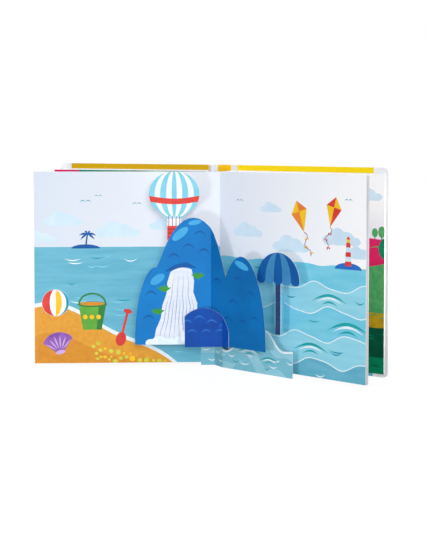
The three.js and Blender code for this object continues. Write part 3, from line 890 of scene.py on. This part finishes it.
@dataclass
class Plan:
    """The book seen from above: every sheet's frame, from the same sizes as the solids.

    Lengths are in millimetres and turns in degrees.
    """

    spine_width: float = 16.5
    spine_turn: float = -23.0
    joint_width: float = 12.0
    front_joint_turn: float = -24.0
    front_cover_turn: float = -25.0
    back_joint_turn: float = -30.45
    back_cover_turn: float = -37.9
    wrap_level: float = -1.425
    fold: SheetFrame = SheetFrame(-6.0, -54.0, 0.0)
    glued: float = 0.75
    fold_run: float = 1.6
    fold_step: float = 1.9
    left_leaf_turn: float = -21.7
    right_leaf_turn: float = -44.1
    standoff: float = 29.0
    left_turn: float = 2.8
    right_turn: float = -44.5
    strip_root: float = 6.6
    strip_fold: float = 16.3
    strip_standoff: float = 12.0
    frames: dict[str, SheetFrame] = field(default_factory=dict)

    def __post_init__(self) -> None:
        """Work out the frames."""
        spine = SheetFrame(0.0, 0.0, self.spine_turn)
        front_joint = spine.moved(-self.spine_width / 2, self.wrap_level, self.front_joint_turn)
        back_joint = spine.moved(self.spine_width / 2, self.wrap_level, self.back_joint_turn)
        left = SheetFrame(self.fold.x, self.fold.y, self.left_turn)
        right = SheetFrame(self.fold.x, self.fold.y, self.right_turn)
        half = math.radians(90 + (self.right_turn - self.left_turn) / 2)
        middle = (self.left_turn + self.right_turn) / 2
        crease = SheetFrame(self.fold.x, self.fold.y, middle).moved(0, self.standoff / math.sin(half), middle)
        root = left.at(-self.strip_root, self.glued) / MM
        bend = right.at(self.strip_fold, self.strip_standoff) / MM
        leg_turn = math.degrees(math.atan2(bend.y - root.y, bend.x - root.x))
        slide = (0.0, self.fold_step)
        self.frames = {
            "spine": spine,
            "front_cover": front_joint.moved(-self.joint_width, 0, self.front_cover_turn),
            "back_cover": back_joint.moved(self.joint_width, 0, self.back_cover_turn),
            "left_page": left,
            "right_page": right,
            "left_leaf": left.moved(-self.fold_run, -self.glued, self.left_leaf_turn, slide),
            "right_leaf": right.moved(self.fold_run, -self.glued, self.right_leaf_turn, slide),
            "strip_middle": SheetFrame(root.x, root.y, leg_turn),
            "layer_left": SheetFrame(crease.x, crease.y, self.left_turn),
            "layer_right": SheetFrame(crease.x, crease.y, self.right_turn),
        }


@dataclass
class Case:
    """The hard case: wrap paper, greyboard, and the printed leaves pasted on the boards."""

    plan: Plan
    board_width: float = 224.0
    margin: float = 17.0
    joint_white: float = 1.0
    spine_overlap: float = 0.6
    fore_shift: float = 4.0
    sea_level: float = 92.0
    near_level: float = 66.0
    foot_level: float = 40.0
    wave_rise: float = 6.0
    wave_length: float = 52.0
    clouds: tuple[Point, ...] = ((0.22, 196.0), (0.58, 214.0), (0.82, 176.0))

    def dress(self) -> None:
        """Give the wraps their fields, with painted shade on the front one and painted light on the back one,
        and the boards their grey core.
        """
        frames = self.plan.frames
        near, far = self.joint_white, self.board_width - self.margin
        half = self.plan.spine_width / 2 + self.spine_overlap
        # One yellow cover paper: the front board's darker yellow is painted shade and the back board's paler
        # yellow is painted light
        front_yellow_painted_shade = WrapPaper("wrap_front_painted_shade", frames["front_cover"], -far, -near, (226, 179, 0), (218, 168, 0),
                         self.sea_level)
        back_yellow_painted_light = WrapPaper("wrap_back_painted_light", frames["back_cover"], -near, far - self.fore_shift, (255, 228, 0),
                          (255, 216, 0), self.sea_level)
        dress("front_wrap", front_yellow_painted_shade.build())
        dress("back_wrap", back_yellow_painted_light.build())
        dress("spine_wrap", WrapPaper("wrap_spine", frames["spine"], -half, half).build())
        grey = GREY_STOCK.build()
        for name in ("front_board", "back_board", "spine_board"):
            dress(name, grey)

    def cover_art(self, first: float, last: float, seed: int) -> list[Patch]:
        """Draw rows of waves and a few clouds on the outside of a board.

        Args:
            first: Left end of the field.
            last: Right end of the field.
            seed: Seed of the small variations.

        Returns:
            The patches in painting order.
        """
        rng = random.Random(seed)
        patches = []
        for share, z in self.clouds:
            patches += Motif(first + (last - first) * share, z, rng.uniform(20, 26)).cloud(WHITE)
        for level, ink in ((self.sea_level, SEA_RIGHT), (self.near_level, TEAL), (self.foot_level, SEA_LEFT)):
            skyline = rolling(level, self.wave_rise, self.wave_length, level / 70)
            run = [first + (last - first) * k / 60 for k in range(61)]
            patches += [Patch(band((first, last), skyline), ink),
                        Patch(stroke([(h, skyline(h)) for h in run], 2.0, False), FOAM)]
            for _ in range(7):
                h, z = rng.uniform(first + 16, last - 16), level - rng.uniform(11, 17)
                patches.append(Patch(ripple(h, z, rng.uniform(10, 20), 2.6, 1.8), FOAM))
        return patches

    def print_covers(self) -> None:
        """Print the outsides of both boards."""
        frames = self.plan.frames
        near, far = self.joint_white, self.board_width - self.margin
        Print("print_front_cover", "front_wrap", frames["front_cover"], Side.BACK, None,
              self.cover_art(-far, -near, 41), "front_cover", "yellow_wrap").build()
        Print("print_back_cover", "back_wrap", frames["back_cover"], Side.BACK, None,
              self.cover_art(near, far - self.fore_shift, 42), "back_cover", "yellow_wrap").build()

    def print_leaves(self) -> None:
        """Print the two pasted leaves with plain landscapes."""
        frames = self.plan.frames
        Print("print_front_pastedown", "front_pastedown", frames["front_cover"], Side.FRONT, DUSK,
              landscape(LEFT_LEAF, MORNING_HILLS, 3), "front_cover").build()
        Print("print_back_pastedown", "back_pastedown", frames["back_cover"], Side.FRONT, DUSK,
              landscape(RIGHT_LEAF, EVENING_HILLS, 5), "back_cover").build()


@dataclass
class PageBlock:
    """The folded cards and what is printed on their leaves, with motifs given as h, z and size."""

    plan: Plan
    width: float = 232.0
    horizon_left: float = 150.0
    horizon_right: float = 138.0
    crests: tuple[float, ...] = (112.0, 84.0, 52.0, 22.0)
    crest_room: float = 12.0
    crest_rise: float = 5.0
    crest_length: float = 78.0
    shore_height: float = 74.0
    shore_reach: float = 0.74
    foam_width: float = 5.0
    left_ripples: int = 44
    right_ripples: int = 70
    left_clouds: Places = ((-196, 182, 26), (-128, 168, 30), (-226, 160, 22), (-66, 176, 24))
    left_gulls: Places = ((-168, 206, 7), (-152, 213, 5), (-104, 203, 6))
    right_clouds: Places = ((48, 170, 26), (118, 156, 30), (196, 168, 30), (222, 152, 22), (86, 200, 18))
    right_gulls: Places = ((34, 208, 6), (206, 214, 6))
    swells: Places = ((178, 98, 26), (206, 66, 30), (150, 38, 26))

    def dress(self) -> None:
        """Give the cards their white stock."""
        stock = CARD_STOCK.build()
        for number in range(1, 6):
            dress(f"card_{number}", stock)

    def shore(self, h: float) -> float:
        """Give the height of the sand's edge on the left page.

        Args:
            h: Place along the page.

        Returns:
            The height.
        """
        share = max((h + self.width) / self.width, 0.0)
        fall = self.shore_height * (share / self.shore_reach) ** 1.7
        return self.shore_height - fall + 5 * math.sin(share * 11.0)

    def damp_edge(self, h: float) -> float:
        """Return the height of the darker sand's edge."""
        return self.shore(h) * 0.62 - 9 + 4 * math.sin(h / 19)

    def left_art(self) -> list[Patch]:
        """Draw the beach of the left page.

        Returns:
            The patches in painting order.
        """
        rng = random.Random(11)
        patches = [patch for place in self.left_clouds for patch in Motif(*place).cloud()]
        patches += [patch for place in self.left_gulls for patch in Motif(*place).gull()]
        patches.append(Patch(band(LEFT_SHEET, lambda h: self.horizon_left), SEA_LEFT))
        patches += Motif(-168, self.horizon_left - 2, 20).islet()
        for _ in range(self.left_ripples):
            h, z = rng.uniform(-228, -6), rng.uniform(6, self.horizon_left - 8)
            if z < self.shore(h) + 12:
                continue
            patches.append(Patch(ripple(h, z, rng.uniform(9, 22), rng.uniform(1.2, 3.0), 1.5),
                                 rng.choice((SEA_LINE, FOAM, SEA_RIGHT))))
        patches += [Patch(band(LEFT_SHEET, lambda h: self.shore(h) + self.foam_width), FOAM),
                    Patch(band(LEFT_SHEET, self.shore), SAND),
                    Patch(band(LEFT_SHEET, self.damp_edge), SAND_SHADE)]
        patches += pebbles(rng, lambda h: self.shore(h) * 0.74 - 4)
        patches += Motif(-206, 80, 17).beach_ball() + Motif(-160, 46, 32).bucket()
        return patches + Motif(-124, 36, 32).spade(-14) + Motif(-200, 18, 26).shell(12)

    def right_art(self) -> list[Patch]:
        """Draw the open water of the right page.

        Returns:
            The patches in painting order.
        """
        rng = random.Random(23)
        patches = [patch for place in self.right_clouds for patch in Motif(*place).cloud()]
        patches += [patch for place in self.right_gulls for patch in Motif(*place).gull()]
        patches += Motif(132, 196, 27).kite(YELLOW, ORANGE, 18) + Motif(184, 203, 25).kite(RED, YELLOW, -14)
        patches.append(Patch(band(RIGHT_SHEET, rolling(self.horizon_right, 1.2, 60)), SEA_RIGHT))
        patches += Motif(206, self.horizon_right - 3, 32).beacon()
        for level, ink in zip(self.crests, (SEA_PALE, SEA_RIGHT, SEA_PALE, SEA_LEFT)):
            skyline = rolling(level, self.crest_rise, self.crest_length, level / 90)
            patches += [Patch(band(RIGHT_SHEET, skyline), ink),
                        Patch(stroke([(h, skyline(h)) for h in range(-10, 250, 5)], 1.2, False), FOAM)]
        for _ in range(self.right_ripples):
            h, z = rng.uniform(6, 226), rng.uniform(8, self.horizon_right - 8)
            if any(abs(z - level) < self.crest_room for level in self.crests) or any(
                    abs(h - a) < 1.2 * size and abs(z - b) < 0.6 * size for a, b, size in self.swells):
                continue
            patches.append(Patch(ripple(h, z, rng.uniform(10, 24), rng.uniform(1.5, 3.5), 1.6),
                                 rng.choice((SEA_LINE, FOAM, CYAN, TEAL))))
        return patches + [patch for place in self.swells for patch in Motif(*place).breaker()]

    def woodland(self) -> list[Patch]:
        """Draw the leaf behind the left page: a flowering tree, a green one and dark trunks.

        Returns:
            The patches in painting order.
        """
        patches = [Patch(block(-240, -196, 236, 250), MAGENTA), Patch(block(-196, -120, 236, 250), GRASS)]
        for h, z, size, ink in ((-214, 222, 30, MAGENTA), (-158, 218, 40, GRASS), (-86, 216, 36, MEADOW)):
            patches += [Patch([(h - 4, 20), (h + 4, 20), (h + 3, z), (h - 3, z)], WOOD),
                        Patch(oval(h, z, size, size * 0.8), ink)]
        return patches + landscape(LEFT_LEAF, WOODED_HILLS, 7)[LANDSCAPE_CLOUD_PATCHES:]

    def print_pages(self) -> None:
        """Print every leaf that can be seen from some side."""
        for name, node, sheet, side, ground, patches in (
                # the two page grounds carry painted shade across the page
                ("left_page", "card_3", "left_page", Side.FRONT, SKY_LEFT_PAINTED_SHADE, self.left_art()),
                ("right_page", "card_3", "right_page", Side.FRONT, SKY_RIGHT_PAINTED_SHADE, self.right_art()),
                ("left_leaf", "card_2", "left_leaf", Side.FRONT, FOREST, self.woodland()),
                ("left_page_back", "card_2", "left_page", Side.BACK, DUSK,
                 landscape(LEFT_LEAF, WOODED_HILLS, 8)),
                ("first_leaf", "card_1", "left_leaf", Side.BACK, DUSK,
                 landscape(LEFT_LEAF, MORNING_HILLS, 9)),
                ("last_leaf", "card_5", "right_leaf", Side.BACK, DUSK,
                 landscape(RIGHT_LEAF, EVENING_HILLS, 10))):
            Print(f"print_{name}", node, self.plan.frames[sheet], side, ground, patches).build()


@dataclass
class PopUpScene:
    """The card scene that floats in front of the open pages."""

    plan: Plan
    balloon_centre: float = -58.0
    balloon_middle: float = 217.0
    balloon_half_width: float = 31.0
    balloon_half_height: float = 28.0
    basket_half: float = 9.0
    basket_top: float = 187.0
    parasol_centre: float = 113.0
    parasol_rim: float = 116.0
    parasol_top: float = 150.0
    parasol_half: float = 34.0
    strip_span: Point = (14, 134)
    strip_top: float = 27.5
    wave_rise: float = 5.0
    wave_length: float = 132 / 3
    swell_centre: float = 88.0
    swell_half_width: float = 46.0
    swell_rise: float = 22.0
    foam_width: float = 2.6
    strip_ripples: int = 14

    def dress(self) -> None:
        """Give the pieces their card, and the struts the ink of what they are glued on."""
        card = CARD_STOCK.build()
        for name in ("popup_hill", "popup_balloon", "popup_boulder", "popup_parasol", "popup_wave_strip"):
            dress(name, card)
        struts = {"hill_left_strut": SEA_LEFT, "hill_right_strut": SEA_RIGHT, "boulder_strut": FALL,
                  "parasol_strut": SEA_RIGHT, "wave_strip_strut": SEA_LEFT, "spread_2_tent": WINE}
        for name, ink in struts.items():
            dress(name, ink.build())

    def hill_left(self) -> list[Patch]:
        """Draw the hill's left face with its waterfall.

        Returns:
            The patches in painting order.
        """
        patches = [Patch(oval(*place), HILL_LIGHT)
                   for place in ((-66, 112, 10, 5, 35), (-38, 168, 12, 5, 40), (-20, 182, 8, 3, 10))]
        patches += [Patch(ripple(h, z, 16, -5, 2.4), HILL_DARK)
                    for h, z in ((-14, 166), (-28, 150), (-9, 144), (-46, 138), (-74, 92), (-77, 62))]
        left_edge = [(-50, 121), (-54, 108), (-55, 94), (-60, 80), (-62, 64), (-68, 50), (-72, 28)]
        right_edge = [(-24, 124), (-21, 110), (-22, 96), (-17, 82), (-18, 66), (-11, 50), (-10, 28)]
        lip = [(-50 + 26 * k / 8, 121.5 + 3.4 * math.sin(math.pi * k / 8) + 0.35 * k) for k in range(1, 8)]
        patches += [Patch(stroke([(-56, 122), (-44, 127), (-30, 130), (-18, 126)], 7.0), HILL_DARK),
                    Patch(left_edge[::-1] + lip + right_edge, FALL)]
        for step in range(1, 10):
            share, start = step / 10, 2 if step % 2 else 0
            line = [(a[0] + (b[0] - a[0]) * share, a[1] + (b[1] - a[1]) * share - 3)
                    for a, b in zip(left_edge, right_edge)]
            patches.append(Patch(stroke(line[start:], 1.0), FALL_LINE))
        patches += [Patch(oval(h, z, r, r * 0.72), FOAM) for h, z, r in (
            (-74, 33, 7), (-64, 35, 9), (-50, 32, 10), (-36, 35, 10), (-22, 32, 10), (-9, 34, 7))]
        for h, z in ((-58, 96), (-16, 112), (-66, 68)):
            patches += Motif(h, z, 9).tuft()
        return patches

    def hill_right(self) -> list[Patch]:
        """Draw the hill's shaded right face.

        Returns:
            The patches in painting order.
        """
        patches = [Patch(oval(52, 132, 12, 4, -20), HILL_LIGHT), Patch(oval(8, 176, 5, 3, -40), HILL_LIGHT)]
        return patches + [Patch(ripple(h, z, 17, -5, 2.4), HILL_DARK) for h, z in (
            (12, 150), (22, 128), (10, 108), (46, 112), (66, 96), (38, 84), (72, 66), (54, 60), (28, 62))]

    def balloon(self) -> list[Patch]:
        """Draw the balloon's gores, band, ropes and basket.

        Returns:
            The patches in painting order.
        """
        h, z, basket = self.balloon_centre, self.balloon_middle, self.basket_half
        wide, high, rim = self.balloon_half_width, self.balloon_half_height, self.basket_top - 9
        patches = [Patch(oval(h, z, wide * share, high * 1.05), ink)
                   for share, ink in ((0.78, WHITE), (0.56, CYAN), (0.32, WHITE), (0.1, CYAN))]
        belt = [(h - wide * 1.1 + wide * 2.2 * k / 12, z - 5 - 4 * math.sin(math.pi * k / 12))
                for k in range(13)]
        patches += [Patch(stroke(belt, 7.0, False), RED),
                    Patch(block(h - 20, h + 20, 140, self.basket_top), WHITE),
                    Patch(block(h - basket, h + basket, 160, rim), RED)]
        for side in (-6.5, -2.2, 2.2, 6.5):
            rope = [(h + side, rim), (h + side * 1.05, self.basket_top + 3)]
            patches.append(Patch(stroke(rope, 0.8, False), WINE))
        for step in range(3):
            level = self.basket_top - 13 - 5 * step
            patches.append(Patch(stroke([(h - basket, level), (h + basket, level)], 1.0, False), WINE))
        return patches

    def boulder(self) -> list[Patch]:
        """Draw the boulder's light edges.

        Returns:
            The patches in painting order.
        """
        upper = [ripple(-30 + 15 * k, 64 - 5 * abs(k - 1), 14, -4, 2.2) for k in range(4)]
        lower = [ripple(-24 + 17 * k, 48, 12, -3, 2.0) for k in range(3)]
        return [Patch(line, BOULDER_LIGHT) for line in upper + lower]

    def parasol(self) -> list[Patch]:
        """Draw the parasol's panels and pole.

        Returns:
            The patches in painting order.
        """
        h, z, half = self.parasol_centre, self.parasol_rim, self.parasol_half
        rise = self.parasol_top - z
        patches = [Patch(block(h - 10, h + 10, 40, z - 3.4), WOOD)]
        for share, ink in ((1.04, CANOPY), (0.6, CANOPY_LIGHT), (0.2, CANOPY)):
            panel = oval(h, z, half * share, rise * 1.02, 0, 0, 180)
            patches.append(Patch([(h - half * share, z - 5), (h + half * share, z - 5)] + panel, ink))
        return patches + [Patch(block(h - 4.5, h + 4.5, 40, z - 4.2), WOOD)]

    def strip_skyline(self, h: float) -> float:
        """Give the height of the wave strip's top edge on the right page.

        Args:
            h: Place along the page.

        Returns:
            The height.
        """
        across = min(abs(h - self.swell_centre) / self.swell_half_width, 1.0)
        swell = self.swell_rise * (1 + math.cos(math.pi * across)) / 2
        return self.strip_top + self.wave_rise * math.cos(2 * math.pi * h / self.wave_length) + swell

    def strip(self) -> list[Patch]:
        """Draw the wave strip's foam, its darker swells and its ripples.

        Returns:
            The patches in painting order.
        """
        rng = random.Random(31)
        first, last = self.strip_span
        run = [first - 6 + 3 * k for k in range(int((last - first) / 3) + 6)]
        patches = []
        for drop, ink in ((9.0, STRIP_DEEP), (24.0, STRIP), (34.0, STRIP_DEEP)):
            edge = [(h, self.strip_skyline(h + drop) - drop) for h in run[::-1]]
            patches.append(Patch([(run[0], -8.0), (run[-1], -8.0)] + edge, ink))
        crest = [(h, self.strip_skyline(h) - 1.2) for h in run]
        patches.append(Patch(stroke(crest, self.foam_width, False), FOAM))
        for _ in range(self.strip_ripples):
            h, z = rng.uniform(first, last), rng.uniform(5, 22)
            patches.append(Patch(ripple(h, z, rng.uniform(9, 18), 2.4, 1.5), rng.choice((FOAM, TEAL, CYAN))))
        return patches + Motif(62, 26, 20).breaker() + Motif(94, 18, 16).breaker()

    def strip_tail(self) -> list[Patch]:
        """Draw the ripples on the strip's short legs.

        Returns:
            The patches in painting order.
        """
        level = self.strip_top + self.wave_rise
        patches = [Patch([(-60, -8), (60, -8), (60, 14), (-60, 17)], STRIP_DEEP),
                   Patch(stroke([(-60, level - 1.2), (60, level - 1.2)], self.foam_width, False), FOAM)]
        return patches + [Patch(ripple(h, z, 12, 2.4, 1.5), FOAM)
                          for h, z in ((-18, 22), (-10, 9), (8, 20), (16, 10))]

    def print_pieces(self) -> None:
        """Print the front of every piece of the scene."""
        for name, node, sheet, ground, patches, slot in (
                ("hill_left", "popup_hill", "layer_left", HILL_LEFT, self.hill_left(), "blue_card"),
                # the right face's ground carries painted shade
                ("hill_right", "popup_hill", "layer_right", HILL_RIGHT_PAINTED_SHADE, self.hill_right(), "blue_card"),
                ("balloon", "popup_balloon", "left_page", CYAN, self.balloon(), "cyan_card"),
                ("boulder_left", "popup_boulder", "layer_left", BOULDER, self.boulder(), "dark_blue_card"),
                ("boulder_right", "popup_boulder", "layer_right", BOULDER, [], "dark_blue_card"),
                ("parasol", "popup_parasol", "right_page", CANOPY, self.parasol(), "dark_blue_card"),
                ("strip_right", "popup_wave_strip", "right_page", STRIP, self.strip(), "teal_card"),
                ("strip_middle", "popup_wave_strip", "strip_middle", STRIP, self.strip_tail(), "teal_card"),
                ("strip_left", "popup_wave_strip", "left_page", STRIP, self.strip_tail(), "teal_card")):
            Print(f"print_{name}", node, self.plan.frames[sheet], Side.FRONT, ground, patches,
                  slot=slot).build()


class LampKind(Enum):
    """The studio's kinds of lamp."""

    SUN = "SUN"
    DISK = "AREA"
    SPOT = "SPOT"


@dataclass(frozen=True)
class Lamp:
    """A studio lamp.

    A sun shines along its aim and is as wide as its spread in degrees. The others stand at a place, point at
    their aim and are hidden from the camera. A disk is as wide as its spread in metres, and a spot's cone is
    its spread in degrees.
    """

    name: str
    kind: LampKind
    aim: Place
    energy: float
    spread: float
    place: Place = (0.0, 0.0, 0.0)
    cone_blend: float = 0.8
    cone_softness: float = 0.06

    def build(self) -> None:
        """Add the lamp to the scene."""
        data = bpy.data.lights.new(self.name, self.kind.value)
        data.energy = self.energy
        if self.kind is LampKind.SUN:
            data.angle = math.radians(self.spread)
        elif self.kind is LampKind.DISK:
            data.shape = "DISK"
            data.size = self.spread
        else:
            data.spot_size = math.radians(self.spread)
            data.spot_blend = self.cone_blend
            data.shadow_soft_size = self.cone_softness
        lamp = bpy.data.objects.new(self.name, data)
        lamp.location = self.place
        lamp.rotation_euler = (Vector(self.aim) - Vector(self.place)).to_track_quat("-Z", "Y").to_euler()
        lamp.visible_camera = self.kind is LampKind.SUN
        bpy.context.scene.collection.objects.link(lamp)


LAMPS = (Lamp("top", LampKind.SUN, (0.3, 0.8, -0.52), 0.35, 60.0),
         Lamp("side", LampKind.SUN, (-0.12, 0.95, -0.2), 1.3, 24.0),
         Lamp("rear", LampKind.SUN, (0.1, -0.85, -0.5), 1.5, 50.0),
         Lamp("key", LampKind.DISK, (0.02, -0.08, 0.13), 1.1, 0.09, (-0.36, -0.7, 0.03)),
         Lamp("gap", LampKind.SPOT, (0.165, 0.03, 0.13), 18.0, 48.0, (0.46, -0.36, 0.15)))


@dataclass
class Studio:
    """Camera, lamps, white surroundings and a pale floor."""

    place: Place = (-0.01424, -1.78586, 0.29326)
    pitch: float = 3.02
    lens: float = 91.3
    shift: float = -0.1245
    ambient: float = 0.46
    ambient_colour: Colour = (0.97, 0.98, 1.0)
    floor_grey: float = 0.4
    floor_reach: float = 6.0
    floor_glow: float = 1.25
    glow_share: float = 0.75

    def camera(self) -> None:
        """Set the camera where the photograph was taken from."""
        data = bpy.data.cameras.new("camera")
        data.lens = self.lens
        data.sensor_width = 36.0
        data.shift_y = self.shift
        data.clip_start = 0.05
        data.clip_end = 60.0
        camera = bpy.data.objects.new("camera", data)
        camera.location = self.place
        camera.rotation_euler = (math.radians(90 - self.pitch), 0.0, 0.0)
        bpy.context.scene.collection.objects.link(camera)
        bpy.context.scene.camera = camera

    def surroundings(self) -> None:
        """Make the even ambient light, with a white background for the camera."""
        world = bpy.data.worlds.new("studio")
        world.use_nodes = True
        tree = world.node_tree
        back = tree.nodes["Background"]
        back.inputs["Color"].default_value = (*self.ambient_colour, 1.0)
        back.inputs["Strength"].default_value = self.ambient
        white = tree.nodes.new("ShaderNodeBackground")
        white.inputs["Color"].default_value = (1.0, 1.0, 1.0, 1.0)
        path = tree.nodes.new("ShaderNodeLightPath")
        mix = tree.nodes.new("ShaderNodeMixShader")
        tree.links.new(path.outputs["Is Camera Ray"], mix.inputs["Fac"])
        tree.links.new(back.outputs["Background"], mix.inputs[1])
        tree.links.new(white.outputs["Background"], mix.inputs[2])
        tree.links.new(mix.outputs["Shader"], tree.nodes["World Output"].inputs["Surface"])
        bpy.context.scene.world = world

    def floor(self) -> None:
        """Lay the pale floor, which keeps a soft shadow of the book."""
        reach = self.floor_reach
        mesh = bpy.data.meshes.new("floor")
        mesh.from_pydata([(x, y, 0) for x, y in block(-reach, reach, -reach, reach)], [], [(0, 1, 2, 3)])
        grey = (self.floor_grey,) * 3 + (1.0,)
        surface = Surface("studio_floor", {"Base Color": grey, "Roughness": 0.9})
        seen = surface.add("LightPath", {}).outputs["Is Camera Ray"]
        share = surface.add("Math", {0: seen, 1: self.glow_share}, "MULTIPLY").outputs[0]
        glow = surface.add("Emission", {"Strength": self.floor_glow}).outputs["Emission"]
        mix = surface.add("MixShader", {"Fac": share, 1: surface.shader.outputs["BSDF"], 2: glow})
        surface.feed(surface.tree.nodes["Material Output"], {"Surface": mix.outputs["Shader"]})
        mesh.materials.append(surface.material)
        floor = bpy.data.objects.new("floor", mesh)
        bpy.context.scene.collection.objects.link(floor)

    def build(self) -> None:
        """Set up the whole studio."""
        self.camera()
        self.surroundings()
        for lamp in LAMPS:
            lamp.build()
        self.floor()
        bpy.context.scene.view_settings.view_transform = "Standard"


def main() -> None:
    """Build the studio first, then dress and print the book piece by piece."""
    logging.basicConfig(level=logging.INFO, format="%(message)s")
    Studio().build()
    plan = Plan()
    case = Case(plan)
    case.dress()
    case.print_leaves()
    case.print_covers()
    pages = PageBlock(plan)
    pages.dress()
    pages.print_pages()
    scene = PopUpScene(plan)
    scene.dress()
    scene.print_pieces()


if __name__ == "__main__":
    main()
